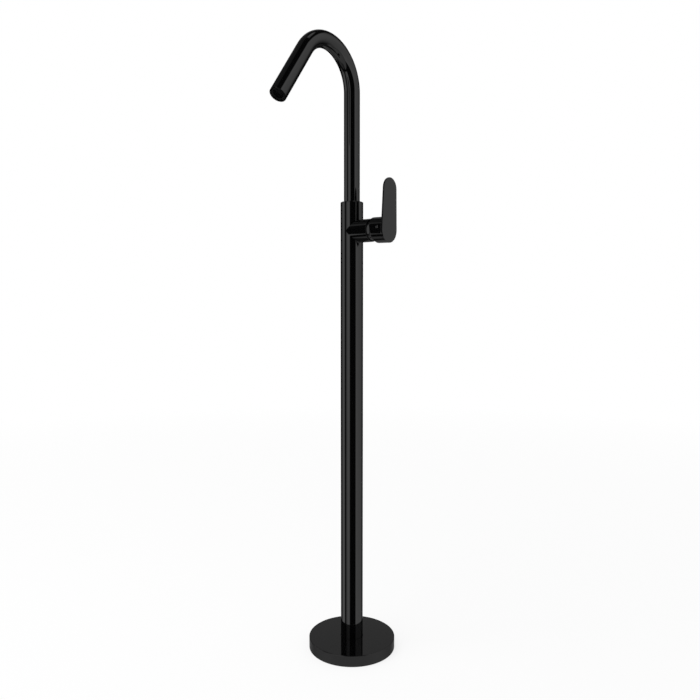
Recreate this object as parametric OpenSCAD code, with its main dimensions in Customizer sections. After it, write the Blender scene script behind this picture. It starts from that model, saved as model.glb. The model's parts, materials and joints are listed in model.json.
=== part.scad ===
// Floor-standing basin mixer: a straight column on a round floor cover, a swivelling
// hooked spout at the top and a single lever on a short side barrel.
// The origin is on the column's axis at the floor. +Z is up, the spout reaches
// towards -Y and the lever's barrel towards +X. All sizes are in millimetres.

/* [Column] */
// Outside diameter of the upright column
column_d = 40; // [39:0.5:42]
// Wall of the column tube
column_wall = 1.5; // [1.2:0.1:2]
// Height of the column's top edge above the floor
column_top = 806; // [700:1:900]
// Height of the trim collar that finishes the column
collar_h = 3; // [2.5:0.5:5]
// Bevel round the collar's outer edge
collar_bevel = 1; // [0.4:0.1:1.5]

/* [Floor fixing] */
// Diameter of the flange that is bolted to the floor
flange_d = 136; // [128:1:146]
// Thickness of the flange plate
flange_t = 6; // [5:0.5:7]
// Diameter of the circle through the floor bolts
bolt_circle_d = 108; // [100:1:112]
// Diameter of each floor bolt hole
bolt_hole_d = 9; // [7:0.5:11]
// Number of floor bolts
bolt_count = 4; // [3:1:6]
// Wall of the socket that holds the column's foot
socket_wall = 8; // [6:0.5:10]
// Height of the spigot inside the column's foot, above the flange plate
spigot_h = 34; // [30:1:50]
// Bore of each supply connection under the flange
supply_bore_d = 15; // [13:0.5:15.5]
// Depth of each supply connection
supply_depth = 12; // [10:0.5:14]
// Distance of each supply line from the column's axis
supply_offset = 8.5; // [8.3:0.1:9]

/* [Floor cover] */
// Outside diameter of the floor cover
cover_d = 156; // [152:1:180]
// Height of the cover's top face above the floor
cover_h = 20; // [19:0.5:24]
// Wall of the cover
cover_wall = 2.5; // [1.5:0.1:3]
// Height of the cover's inner collar, which seals on the column
lip_h = 6; // [5.5:0.5:7]
// Width of the cover's inner collar
lip_w = 5; // [4.5:0.5:6]
// Gap under the cover's rim when it is down
rim_gap = 0.4; // [0.2:0.1:1]
// Bevel round the cover's top edge
cover_bevel = 0.6; // [0.3:0.1:1.5]

/* [Hoses] */
// Outside diameter of each supply hose
hose_d = 11; // [9:0.5:11.5]
// Bore of each supply hose
hose_bore_d = 7; // [5:0.5:7.5]
// Diameter of the threaded stub on each hose end
hose_thread_d = 10; // [9.5:0.5:10.5]
// Length of the threaded stub on each hose end
hose_thread_l = 9; // [7:0.5:10]
// Length of the ferrule on each hose end
ferrule_l = 14; // [12:0.5:18]
// Wall of the ferrule round the hose
ferrule_wall = 1; // [0.6:0.1:1.2]

/* [Valve body] */
// Drop from the column's top edge to the barrel's axis
barrel_drop = 51.5; // [50:0.5:60]
// Reach of the barrel's end from the column's axis
barrel_reach = 44; // [43.6:0.1:46]
// Wall of the barrel
barrel_wall = 1.9; // [1.6:0.1:2.1]
// How much smaller the barrel's radius is than the column's
barrel_step = 0.1; // [0.1:0.1:0.3]
// Height of the valve body inside the column
body_h = 36; // [34:0.5:37]
// Distance from the column's axis to the flat that the cartridge housing seats on
seat_x = 10; // [9.5:0.1:10.5]
// Bore of the inlet ways at the cartridge
inlet_d = 4.4; // [3.5:0.1:4.6]
// Bore of the outlet way at the cartridge
outlet_d = 5.6; // [4.5:0.1:6]
// Bore of the riser drillings in the valve body
riser_d = 6; // [5:0.1:6.5]
// Diameter of the nipple that leads from the valve body to the spout socket
nipple_d = 12; // [11:0.5:13]
// Depth of the nipple's seat at each end
nipple_seat = 6; // [5:0.5:6.5]
// Diameter of every set screw
set_screw_d = 5; // [4:0.5:5.5]
// Diameter of the screws that hold the cartridge housing
housing_screw_d = 3; // [2.5:0.1:3]

/* [Cartridge] */
// Outside diameter of the cartridge
cartridge_d = 25.8; // [25.6:0.1:26]
// Thickness of the cartridge housing's floor
housing_floor = 4; // [3.5:0.1:4.5]
// Thickness of the cartridge's base
base_t = 4; // [3.5:0.1:4.2]
// Thickness of each ceramic disc
disc_t = 3; // [2.8:0.1:3.2]
// Diameter of the fixed disc
fixed_disc_d = 20.4; // [20:0.1:21]
// Diameter of the moving disc
moving_disc_d = 15.2; // [14.6:0.1:16]
// Thickness of the carrier that drives the moving disc
carrier_t = 3.4; // [3:0.1:3.6]
// Wall of the cartridge's shell
shell_wall = 1.75; // [1.5:0.05:1.9]
// Length of the rotor's drum
rotor_l = 8.4; // [8:0.1:9]
// Distance from the rotor's inner face to the lever's pivot
pivot_inset = 3.4; // [3.2:0.1:3.8]
// Diameter of the pivot pin
pivot_pin_d = 3; // [2.5:0.1:3.2]
// Thickness of the shell's front lip
shell_lip = 1.3; // [1:0.1:1.6]

/* [Lever] */
// Diameter of the lever's hub
hub_d = 44.4; // [44:0.1:48]
// Wall of the hub
hub_wall = 1.9; // [1.5:0.1:2]
// Distance from the lever's pivot to the hub's outer face
hub_reach = 49.3; // [47:0.1:52]
// Distance from the lever's pivot to the hub's inner rim at the top
rim_top = 17.5; // [15.5:0.1:18]
// Distance from the lever's pivot to the hub's inner rim at the bottom
rim_bottom = 26; // [22:0.1:27]
// Height of the paddle's tip above the barrel's axis
paddle_h = 87.2; // [70:0.1:110]
// Width of the paddle at its tip
tip_w = 38; // [30:0.5:42]
// Thickness of the paddle
paddle_t = 3.3; // [3:0.1:5]
// Bevel round the paddle's edges
paddle_bevel = 0.8; // [0.3:0.1:1.2]
// Outward lean of the closed lever, in degrees
lever_lean = 1.2; // [0:0.1:3]
// Upward angle of the stem in the closed lever, in degrees
stem_lift = 5; // [3:0.5:7]
// Tilt of the lever from closed to fully open, in degrees
lever_tilt = 20; // [12:1:20]
// Diameter of the lever's stem
stem_d = 7; // [6:0.1:7.2]
// Distance from the pivot to the ball that moves the carrier
ball_reach = 4.5; // [4.3:0.1:4.5]
// Diameter of that ball
ball_d = 4; // [3.6:0.1:4]

/* [Spout] */
// Outside diameter of the spout tube
spout_d = 28; // [26.5:0.1:28.5]
// Wall of the spout tube
spout_wall = 1.2; // [1:0.1:1.5]
// Straight rise from the column's top edge to the start of the bend
spout_rise = 187.5; // [150:0.5:300]
// Radius of the bend along the tube's centre line
bend_r = 69.5; // [60:0.5:90]
// Angle of the bend, in degrees
bend_angle = 144; // [120:1:160]
// Straight run from the end of the bend to the outlet
tip_run = 108; // [80:0.5:140]
// Turn of the spout to each side, in degrees
spout_turn = 60; // [20:1:70]
// Depth of the spout socket's bore below the collar
socket_depth = 22; // [21:0.5:24]
// Floor of the spout socket
socket_floor = 5; // [3:0.5:6]
// Wall of the spout's root round its waterway
root_wall = 5.1; // [4.6:0.1:5.5]

/* [Outlet] */
// Depth of the aerator's seat inside the outlet
aerator_depth = 14; // [12:0.5:18]
// Recess of the aerator's edge behind the outlet's edge
aerator_recess = 1.5; // [0.5:0.1:3]
// Wall of the aerator's threaded sleeve
aerator_wall = 1.7; // [1.2:0.1:2]
// Wall of the aerator's screwed ring
ring_wall = 1.8; // [1.2:0.1:2.2]

/* [Hidden] */
$fn = 96;

// Clearances
seat_gap = 0.05;   // round pieces fixed in one another
run_gap = 0.08;    // round pieces that turn in one another
free_gap = 0.3;    // pieces that only pass by one another
cut = 1;           // how far a cutter runs past the face it opens
drill_over = 3.3;  // how far a drilling runs past the axis of the one it meets
drive_play = 0.1;  // ball in the carrier's slot
groove_play = 0.2; // seal along its groove

// Column and barrel
column_r = column_d / 2;
bore_r = column_r - column_wall;
tube_top = column_top - collar_h;
barrel_z = column_top - barrel_drop;
barrel_r = column_r - barrel_step;
barrel_bore_r = barrel_r - barrel_wall;

// Floor fixing and cover
socket_top = cover_h - lip_h;
spigot_r = bore_r - seat_gap;
spigot_top = flange_t + spigot_h;
seal_t = 1.8;      // thickness of the round seals
seal_r = seal_t / 2;
ferrule_floor = 4; // the hose's end stands this far off the face the ferrule seats on
lock_x = 9;        // the valve body's lock screw reaches in to here

// Valve body, with the hose ports underneath and the nipple on top
body_r = bore_r - seat_gap;
body_bottom = barrel_z - body_h / 2;
body_top = barrel_z + body_h / 2;
inlet_y = 6.2;     // inlet ways at the cartridge, to each side of its axis
inlet_drop = 3.5;  // the same, below its axis
outlet_up = 5.5;   // outlet way, above the cartridge's axis
ports = [
    [-inlet_y, -inlet_drop, inlet_d / 2],
    [inlet_y, -inlet_drop, inlet_d / 2],
    [0, outlet_up, outlet_d / 2]
];

// Cartridge along the barrel's axis, counted from the column's axis
housing_r = barrel_bore_r - seat_gap;
cartridge_r = cartridge_d / 2;
chamber_r = cartridge_r + seat_gap;
base_x = seat_x + housing_floor;
disc_x = base_x + base_t;
carrier_x = disc_x + 2 * disc_t;
rotor_x = carrier_x + carrier_t + 0.2;
pivot_x = rotor_x + pivot_inset;
rotor_end = rotor_x + rotor_l;
shell_bore_r = cartridge_r - shell_wall;
carrier_z = -ball_reach * sin(stem_lift - lever_lean);   // carrier's height, lever closed
slot_floor = 0.4;  // thin floor of the carrier under its slot
shell_end = rotor_end + 0.2 + shell_lip;
rotor_r = shell_bore_r - run_gap;
rotor_neck_r = rotor_r - 2;
rotor_wall = 1.2;  // wall left above and below the rotor's slot
rotor_seal_x = rotor_x + rotor_l - 1.8;
nut_t = 3.4;       // thickness of the cartridge's nut
housing_end = shell_end + nut_t;
housing_screw_r = (chamber_r + housing_r) / 2;
housing_screw_angles = [45, 135, 270];
housing_screw_bite = 7;   // depth of those screws in the valve body
screw_head_d = housing_screw_d + 1.2;
screw_head_t = 2;
port_seal_t = 1.4;        // thickness of the small seals round the ports

// Trim over the cartridge, a round shoulder in the barrel's mouth with a flat top
dome_r = housing_r;
dome_t = 1.4;
dome_x = max(housing_end + 0.6, barrel_reach - 2.5);   // middle of the shoulder's ball
dome_reach = 19.5;                                     // its flat top, from the pivot
dome_top = pivot_x + dome_reach - dome_x;
stem_dip = lever_tilt - stem_lift + lever_lean;        // stem's fall at full tilt
dome_hole_r = dome_reach * tan(stem_dip) + stem_d / 2 / cos(stem_dip) + free_gap;

// Lever
hub_r = hub_d / 2;
tip_r = tip_w / 2;
boss_r = 8.5;
boss_start = 24;          // from the pivot, clear of the trim at full tilt
socket_w = 6;             // square end of the stem
stem_end = hub_reach - paddle_t - 3;
screw_reach = 37.5;       // from the pivot to the lever's set screw
plug_r = 3;
plug_dome_r = 5;
plug_top = hub_r + 0.4;   // the plug's dome stands this high above the hub's axis
hub_inset = 0.1;          // the paddle's edge stands this far proud of the hub

// Spout
spout_r = spout_d / 2;
spout_bore_r = spout_r - spout_wall;
bend_z = column_top + spout_rise;
bush_r = bore_r - seat_gap;
bush_bore_r = spout_r - 1.8;
root_r = bush_bore_r - run_gap;
root_bore_r = root_r - root_wall;
step_depth = 6;           // counterbore at the top of the spout socket
bush_floor_z = tube_top - socket_depth;
bush_bottom = bush_floor_z - socket_floor;
nipple_seal_z = [body_top - nipple_seat / 2, bush_bottom + nipple_seat / 2];
glide_t = 1;
root_flange_t = 1.5;
tip_lap = 1;              // the straight tip starts this far inside the bend
tip_step = 0.05;          // and is this much slimmer, a hairline shoulder where it joins
root_flange_z = tube_top - step_depth + glide_t;
tube_start = root_flange_z + root_flange_t;
root_sleeve_h = 15;       // how far the root reaches up inside the tube
stop_depth = 3;           // depth of the turn stop's slot in the root
stop_z = bush_floor_z + 11;
spout_seal_z = [bush_floor_z + 2.6, bush_floor_z + 6.2];

// Outlet, counted along the tip's straight run
sleeve_r = spout_bore_r - seat_gap;
sleeve_bore_r = sleeve_r - aerator_wall;
sleeve_end = tip_run - aerator_recess;
sleeve_start = tip_run - aerator_depth;
aerator_lip = 1.5;
gasket_t = 1;
ring_start = sleeve_start + aerator_lip + gasket_t;
ring_r = sleeve_bore_r - seat_gap;
ring_bore_r = ring_r - ring_wall;

// Colours
gloss_black = [0.05, 0.05, 0.06];
brass = [0.78, 0.66, 0.38];
steel = [0.72, 0.73, 0.75];
rubber = [0.12, 0.12, 0.12];
ceramic = [0.93, 0.92, 0.88];
grey_plastic = [0.55, 0.57, 0.6];
white_plastic = [0.88, 0.88, 0.86];
black_plastic = [0.07, 0.07, 0.08];

// Places children with their Z along the barrel's axis, x from the column's axis.
module along_barrel(x) {
    translate([x, 0, barrel_z]) rotate([0, 90, 0]) children();
}

// Places children at a point of the barrel's cross-section, y across and z up.
module at_section(y, z) {
    translate([-z, y, 0]) children();
}

// Places children on a radius of the column, their Z pointing outwards.
module on_radius(angle, r, z) {
    translate([0, 0, z]) rotate([0, 0, angle]) translate([r, 0, 0]) rotate([0, 90, 0]) children();
}

// Places children in the lever's frame: pivot at the origin, hub along +X.
module in_lever() {
    translate([pivot_x, 0, barrel_z]) rotate([0, lever_lean, 0]) children();
}

// Places children with their Z along the lever's stem, counted from the pivot.
module along_stem(d) {
    rotate([0, -stem_lift, 0]) translate([d, 0, 0]) rotate([0, 90, 0]) children();
}

// Places children on the spout's tip, their Z along the flow from the end of the bend.
module along_tip(d) {
    translate([0, -bend_r, bend_z]) rotate([90, 0, 90]) rotate([0, 0, bend_angle])
        translate([bend_r, d, 0]) rotate([-90, 0, 0]) children();
}

module tube(r_out, r_in, h) {
    difference() {
        cylinder(r = r_out, h = h);
        translate([0, 0, -cut]) cylinder(r = r_in, h = h + 2 * cut);
    }
}

module ring_seal(r_mid, t) {
    rotate_extrude() translate([r_mid, 0]) circle(d = t);
}

// Groove for a round seal, opening outwards from r_floor.
module seal_groove(r_floor, r_open, w) {
    translate([0, 0, -w / 2]) difference() {
        cylinder(r = r_open + cut, h = w);
        translate([0, 0, -cut]) cylinder(r = r_floor, h = w + 2 * cut);
    }
}

// Headless screw with its tip at the origin and a hexagon socket in its outer end.
module set_screw(l) {
    socket_across = set_screw_d * 0.56;
    difference() {
        cylinder(d = set_screw_d, h = l);
        translate([0, 0, l - 2.5]) cylinder(d = socket_across, h = 2.5 + cut, $fn = 6);
    }
}

module set_screw_hole(l) {
    cylinder(d = set_screw_d + 2 * seat_gap, h = l);
}

// The spout tube's shape at radius r: rise, bend and tip.
module spout_path(r, overrun) {
    translate([0, 0, tube_start - overrun]) cylinder(r = r, h = bend_z - tube_start + overrun);
    translate([0, -bend_r, bend_z]) rotate([90, 0, 90])
        rotate_extrude(angle = bend_angle) translate([bend_r, 0]) circle(r = r);
    along_tip(-tip_lap) cylinder(r = r - tip_step, h = tip_run + tip_lap + overrun);
}

// Floor fixing

module floor_flange() {
    color(brass) difference() {
        union() {
            cylinder(d = flange_d, h = flange_t);
            cylinder(r = spigot_r, h = spigot_top);
            translate([0, 0, flange_t])
                tube(column_r + seat_gap + socket_wall, column_r + seat_gap, socket_top - flange_t);
        }
        for (i = [0 : bolt_count - 1])
            rotate([0, 0, (i + 0.5) * 360 / bolt_count]) translate([bolt_circle_d / 2, 0, -cut])
                cylinder(d = bolt_hole_d, h = flange_t + 2 * cut);
        for (side = [-1, 1]) translate([0, side * supply_offset, 0]) {
            translate([0, 0, -cut]) cylinder(d = supply_bore_d, h = supply_depth + cut);
            cylinder(d = riser_d, h = spigot_top);
            translate([0, 0, spigot_top - hose_thread_l])
                cylinder(d = hose_thread_d + 2 * seat_gap, h = hose_thread_l + cut);
        }
        for (i = [0 : 2]) on_radius(30 + i * 120, column_r, (flange_t + socket_top) / 2)
            set_screw_hole(socket_wall + cut);
    }
}

module column_screws() {
    color(steel) for (i = [0 : 2])
        on_radius(30 + i * 120, column_r + seat_gap, (flange_t + socket_top) / 2)
            set_screw(socket_wall - 0.5);
}

module floor_cover() {
    lip_r = column_r + free_gap;
    color(gloss_black) difference() {
        union() {
            translate([0, 0, rim_gap]) rotate_extrude() polygon([
                [cover_d / 2 - cover_wall, 0],
                [cover_d / 2, 0],
                [cover_d / 2, cover_h - rim_gap - cover_bevel],
                [cover_d / 2 - cover_bevel, cover_h - rim_gap],
                [lip_r, cover_h - rim_gap],
                [lip_r, cover_h - rim_gap - cover_wall],
                [cover_d / 2 - cover_wall, cover_h - rim_gap - cover_wall]
            ]);
            translate([0, 0, socket_top]) tube(lip_r + lip_w, lip_r, lip_h - cover_wall / 2);
        }
        translate([0, 0, cover_h - lip_h / 2 - seal_t / 2 - groove_play / 2])
            cylinder(r = column_r + seal_t + 2 * seat_gap, h = seal_t + groove_play);
    }
}

module cover_seal() {
    color(rubber) translate([0, 0, cover_h - lip_h / 2])
        ring_seal(column_r + seat_gap + seal_r, seal_t);
}

// Column and side barrel

module column_tube() {
    color(gloss_black) difference() {
        translate([0, 0, flange_t]) tube(column_r, bore_r, tube_top - flange_t);
        along_barrel(0) cylinder(r = barrel_bore_r, h = column_r + cut);
        along_barrel(-column_r - cut) set_screw_hole(column_r);
        on_radius(90, bore_r - cut, stop_z) set_screw_hole(column_wall + 2 * cut);
    }
}

module side_barrel() {
    color(gloss_black) difference() {
        along_barrel(0) tube(barrel_r, barrel_bore_r, barrel_reach);
        translate([0, 0, barrel_z - column_d]) cylinder(r = column_r, h = 2 * column_d);
    }
}

// Waterways inside the column

module valve_body() {
    color(brass) difference() {
        translate([0, 0, body_bottom]) cylinder(r = body_r, h = body_h);
        translate([seat_x, -column_r, body_bottom - cut]) cube([column_r, column_d, body_h + 2 * cut]);
        for (side = [-1, 1]) {
            translate([0, side * supply_offset, body_bottom - cut]) {
                cylinder(d = hose_thread_d + 2 * seat_gap, h = hose_thread_l + cut);
                cylinder(d = riser_d, h = barrel_z - inlet_drop - body_bottom + cut + drill_over);
            }
            along_barrel(0) at_section(side * inlet_y, -inlet_drop)
                cylinder(d = inlet_d, h = seat_x + cut);
        }
        along_barrel(0) at_section(0, outlet_up) cylinder(d = outlet_d, h = seat_x + cut);
        translate([0, 0, barrel_z + outlet_up - drill_over]) cylinder(d = riser_d, h = body_h);
        translate([0, 0, body_top - nipple_seat])
            cylinder(d = nipple_d + 2 * seat_gap, h = nipple_seat + cut);
        for (a = housing_screw_angles) along_barrel(seat_x - housing_screw_bite)
            at_section(housing_screw_r * cos(a), housing_screw_r * sin(a))
                cylinder(d = housing_screw_d + 2 * seat_gap, h = housing_screw_bite + cut);
        along_barrel(-column_r) set_screw_hole(column_r - lock_x);
    }
}

module body_lock_screw() {
    color(steel) along_barrel(-lock_x - free_gap) rotate([0, 180, 0])
        set_screw(column_r - lock_x - 2 * free_gap);
}

module hose(side) {
    translate([0, side * supply_offset, spigot_top + ferrule_floor])
        tube(hose_d / 2, hose_bore_d / 2, body_bottom - spigot_top - 2 * ferrule_floor);
}

// The two ends of a hose: a threaded stub with a ferrule crimped over the hose.
module hose_fittings(side) {
    for (flip = [0, 1]) translate([0, side * supply_offset, flip ? body_bottom : spigot_top])
        mirror([0, 0, flip]) difference() {
            union() {
                translate([0, 0, free_gap - hose_thread_l]) cylinder(d = hose_thread_d, h = hose_thread_l);
                cylinder(r = hose_d / 2 + seat_gap + ferrule_wall, h = ferrule_l);
            }
            translate([0, 0, ferrule_floor]) cylinder(r = hose_d / 2 + seat_gap, h = ferrule_l);
            translate([0, 0, -hose_thread_l]) cylinder(d = hose_bore_d - 1, h = ferrule_l + hose_thread_l);
        }
}

module hot_hose() { color(steel) hose(-1); }

module cold_hose() { color(steel) hose(1); }

module hot_hose_fittings() { color(brass) hose_fittings(-1); }

module cold_hose_fittings() { color(brass) hose_fittings(1); }

module outlet_nipple() {
    start = body_top - nipple_seat + free_gap;
    end = bush_bottom + nipple_seat - free_gap;
    color(brass) difference() {
        translate([0, 0, start]) tube(nipple_d / 2, riser_d / 2, end - start);
        for (z = nipple_seal_z) translate([0, 0, z])
            seal_groove(nipple_d / 2 - port_seal_t - seat_gap, nipple_d / 2, port_seal_t + groove_play);
    }
}

module nipple_seals() {
    color(rubber) for (z = nipple_seal_z) translate([0, 0, z])
        ring_seal(nipple_d / 2 - port_seal_t / 2, port_seal_t);
}

// Cartridge housing in the barrel

module cartridge_housing() {
    color(brass) along_barrel(seat_x) difference() {
        cylinder(r = housing_r, h = housing_end - seat_x);
        translate([0, 0, housing_floor]) cylinder(r = chamber_r, h = housing_end - seat_x);
        for (p = ports) at_section(p[0], p[1]) {
            translate([0, 0, -cut]) cylinder(r = p[2], h = housing_floor + 2 * cut);
            port_groove(p[2]);
        }
        for (a = housing_screw_angles)
            at_section(housing_screw_r * cos(a), housing_screw_r * sin(a)) {
                translate([0, 0, -cut]) cylinder(d = housing_screw_d + 2 * seat_gap, h = housing_end);
                translate([0, 0, housing_end - seat_x - screw_head_t])
                    cylinder(d = screw_head_d + 2 * seat_gap, h = screw_head_t + cut);
            }
    }
}

// Groove round a port in the face at z = 0, for one of the small seals.
module port_groove(port_r) {
    translate([0, 0, -cut])
        tube(port_r + 0.25 + port_seal_t + 0.1, port_r + 0.25, cut + port_seal_t);
}

module port_rings() {
    for (p = ports) at_section(p[0], p[1]) translate([0, 0, port_seal_t / 2])
        ring_seal(p[2] + 0.3 + port_seal_t / 2, port_seal_t);
}

module housing_screws() {
    shank_l = housing_end - seat_x - screw_head_t + housing_screw_bite;
    color(steel) for (a = housing_screw_angles)
        along_barrel(seat_x) at_section(housing_screw_r * cos(a), housing_screw_r * sin(a))
            difference() {
                union() {
                    translate([0, 0, free_gap - housing_screw_bite])
                        cylinder(d = housing_screw_d, h = shank_l);
                    translate([0, 0, housing_end - seat_x - screw_head_t])
                        cylinder(d = screw_head_d, h = screw_head_t - free_gap);
                }
                translate([0, 0, housing_end - seat_x - screw_head_t + 0.5])
                    cylinder(d = screw_head_d / 2, h = screw_head_t, $fn = 6);
            }
}

module body_seals() { color(rubber) along_barrel(seat_x) port_rings(); }

module port_seals() { color(rubber) along_barrel(base_x) port_rings(); }

module cartridge_base() {
    color(grey_plastic) along_barrel(base_x) difference() {
        cylinder(r = cartridge_r, h = base_t);
        for (p = ports) at_section(p[0], p[1]) {
            translate([0, 0, -cut]) cylinder(r = p[2], h = base_t + 2 * cut);
            port_groove(p[2]);
        }
    }
}

module fixed_disc() {
    color(ceramic) along_barrel(disc_x) difference() {
        cylinder(d = fixed_disc_d, h = disc_t);
        for (p = ports) at_section(p[0], p[1])
            translate([0, 0, -cut]) cylinder(r = p[2], h = disc_t + 2 * cut);
    }
}

module cartridge_shell() {
    color(grey_plastic) along_barrel(disc_x) {
        tube(cartridge_r, shell_bore_r, shell_end - disc_x);
        translate([0, 0, shell_end - shell_lip - disc_x])
            tube(shell_bore_r + 0.2, rotor_neck_r + free_gap, shell_lip);
    }
}

module cartridge_nut() {
    color(brass) along_barrel(shell_end) difference() {
        tube(cartridge_r, rotor_neck_r + 0.8, nut_t);
        for (a = [0 : 60 : 300]) rotate([0, 0, a]) translate([cartridge_r - 1.6, -1.5, nut_t - 1.4])
            cube([2, 3, 2]);
    }
}

// Trim over the cartridge: a short ring, a shoulder from a ball and a flat top round the stem.
module dome_cover() {
    ring_l = dome_x - housing_end;
    color(gloss_black) along_barrel(housing_end) rotate_extrude() {
        translate([dome_r - 1.6, 0]) square([1.6, ring_l + cut]);
        translate([0, ring_l]) intersection() {
            union() {
                difference() {
                    circle(r = dome_r);
                    circle(r = dome_r - dome_t);
                }
                translate([0, dome_top - dome_t]) square([dome_r, dome_t]);
            }
            circle(r = dome_r);
            translate([dome_hole_r, 0]) square([dome_r, dome_top]);
        }
    }
}

// Moving parts of the cartridge

module cartridge_rotor() {
    slot_w = stem_d + 2 * run_gap;
    slot_h = 2 * (rotor_neck_r - rotor_wall);
    color(white_plastic) along_barrel(rotor_x) difference() {
        union() {
            cylinder(r = rotor_r, h = rotor_l);
            cylinder(r = rotor_neck_r, h = shell_end - rotor_x);
            for (side = [-1, 1]) intersection() {
                translate([0, 0, free_gap - carrier_t]) cylinder(r = rotor_r, h = carrier_t);
                translate([-rotor_r, side * (moving_disc_d / 2 + rotor_r) - rotor_r, -carrier_t])
                    cube([2 * rotor_r, 2 * rotor_r, carrier_t + cut]);
            }
        }
        translate([-slot_h / 2, -slot_w / 2, -carrier_t]) cube([slot_h, slot_w, shell_end]);
        translate([0, 0, pivot_inset]) rotate([90, 0, 0])
            cylinder(d = pivot_pin_d + 2 * seat_gap, h = 2 * rotor_r, center = true);
        translate([0, 0, rotor_seal_x - rotor_x])
            seal_groove(rotor_r - port_seal_t, rotor_r, port_seal_t + groove_play);
    }
}

module rotor_seal() {
    color(rubber) along_barrel(rotor_seal_x)
        ring_seal(rotor_r - port_seal_t / 2 + seat_gap, port_seal_t - seat_gap);
}

module stem_pin() {
    pin_l = 2 * sqrt(rotor_r * rotor_r - pivot_pin_d * pivot_pin_d / 4) - 0.4;
    color(steel) along_barrel(pivot_x) rotate([90, 0, 0])
        cylinder(d = pivot_pin_d, h = pin_l, center = true);
}

module disc_carrier() {
    slot_w = ball_d + 2 * drive_play;
    guide_w = moving_disc_d - 2 * free_gap;
    color(white_plastic) along_barrel(carrier_x) difference() {
        intersection() {
            at_section(0, carrier_z) cylinder(d = moving_disc_d + 1, h = carrier_t);
            translate([-rotor_r, -guide_w / 2, 0]) cube([2 * rotor_r, guide_w, carrier_t]);
        }
        at_section(0, carrier_z) translate([-slot_w / 2, -slot_w / 2, slot_floor])
            cube([slot_w, slot_w, carrier_t]);
    }
}

module moving_disc() {
    color(ceramic) along_barrel(carrier_x - disc_t) at_section(0, carrier_z) difference() {
        cylinder(d = moving_disc_d, h = disc_t);
        translate([0, 0, -cut]) scale(0.72) cylinder(d = moving_disc_d, h = cut + 1);
    }
}

// Lever

module lever_stem() {
    color(brass) in_lever() difference() {
        union() {
            along_stem(-2.4) cylinder(d = stem_d, h = boss_start + 2.4);
            along_stem(-ball_reach) cylinder(d = ball_d - 1.4, h = ball_reach);
            along_stem(-ball_reach) sphere(d = ball_d);
            along_stem(boss_start) translate([-socket_w / 2, -socket_w / 2, -cut])
                cube([socket_w, socket_w, stem_end - boss_start + cut]);
        }
        rotate([90, 0, 0]) cylinder(d = pivot_pin_d + 2 * run_gap, h = 2 * stem_d, center = true);
    }
}

// The paddle's outline, a round hub and a narrower round tip, extruded along +Z.
module paddle_slab(inset, t) {
    cylinder(r = hub_r - inset, h = t);
    translate([tip_r - paddle_h, 0, 0]) cylinder(r = tip_r - inset, h = t);
}

module lever_handle() {
    slab_x = hub_reach - paddle_t;
    rim_slope = atan2(rim_bottom - rim_top, hub_d);
    square_w = socket_w + 2 * seat_gap;
    color(gloss_black) in_lever() difference() {
        union() {
            translate([slab_x, 0, 0]) rotate([0, 90, 0]) hull() {
                paddle_slab(0, paddle_t - paddle_bevel);
                paddle_slab(paddle_bevel, paddle_t);
            }
            difference() {
                rotate([0, 90, 0]) translate([0, 0, rim_top - cut])
                    cylinder(r = hub_r - hub_inset, h = slab_x - rim_top + cut);
                rotate([0, 90, 0]) cylinder(r = hub_r - hub_wall, h = slab_x - 1);
                translate([(rim_top + rim_bottom) / 2, 0, 0]) rotate([0, -rim_slope, 0])
                    translate([-hub_d, -hub_d, -hub_d]) cube([hub_d, 2 * hub_d, 2 * hub_d]);
            }
            difference() {
                along_stem(boss_start) cylinder(r = boss_r, h = hub_reach - boss_start);
                translate([slab_x, -hub_d, -hub_d]) cube(2 * hub_d);
            }
        }
        along_stem(boss_start) translate([-square_w / 2, -square_w / 2, -cut])
            cube([square_w, square_w, stem_end + free_gap - boss_start + cut]);
        along_stem(screw_reach) rotate([90, 0, 0]) {
            set_screw_hole(hub_r);
            translate([0, 0, boss_r + 1]) cylinder(r = plug_r + seat_gap, h = hub_r);
        }
    }
}

module lever_set_screw() {
    color(steel) in_lever() along_stem(screw_reach) rotate([90, 0, 0])
        translate([0, 0, socket_w / 2 + seat_gap]) set_screw(6);
}

// Plug over the lever's screw, a button with a domed face.
module lever_plug() {
    color(gloss_black) in_lever() along_stem(screw_reach) rotate([90, 0, 0]) intersection() {
        translate([0, 0, hub_r - hub_wall - 1]) cylinder(r = plug_r, h = hub_wall + 2);
        translate([0, 0, plug_top - plug_dome_r]) sphere(r = plug_dome_r);
    }
}

// Spout bearing in the column's top

module spout_socket() {
    color(brass) difference() {
        translate([0, 0, bush_bottom]) cylinder(r = bush_r, h = tube_top - bush_bottom);
        translate([0, 0, bush_floor_z]) cylinder(r = bush_bore_r, h = socket_depth + cut);
        translate([0, 0, tube_top - step_depth]) cylinder(r = spout_r + free_gap, h = step_depth + cut);
        translate([0, 0, bush_bottom - cut]) cylinder(d = riser_d, h = socket_floor + 2 * cut);
        translate([0, 0, bush_bottom - cut]) cylinder(d = nipple_d + 2 * seat_gap, h = nipple_seat + cut);
        on_radius(90, 0, stop_z) set_screw_hole(column_r);
    }
}

module collar_ring() {
    bore = spout_r + free_gap;
    color(gloss_black) translate([0, 0, tube_top]) rotate_extrude() polygon([
        [bore, 0],
        [column_r, 0],
        [column_r, collar_h - collar_bevel],
        [column_r - collar_bevel, collar_h],
        [bore + 0.4, collar_h],
        [bore, collar_h - 0.4]
    ]);
}

module spout_stop_screw() {
    tip = root_r - stop_depth + free_gap;
    color(steel) on_radius(90, tip, stop_z) set_screw(column_r - free_gap - tip);
}

module glide_ring() {
    color(white_plastic) translate([0, 0, tube_top - step_depth])
        tube(spout_r + free_gap - seat_gap, root_r + run_gap, glide_t);
}

// Spout

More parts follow.
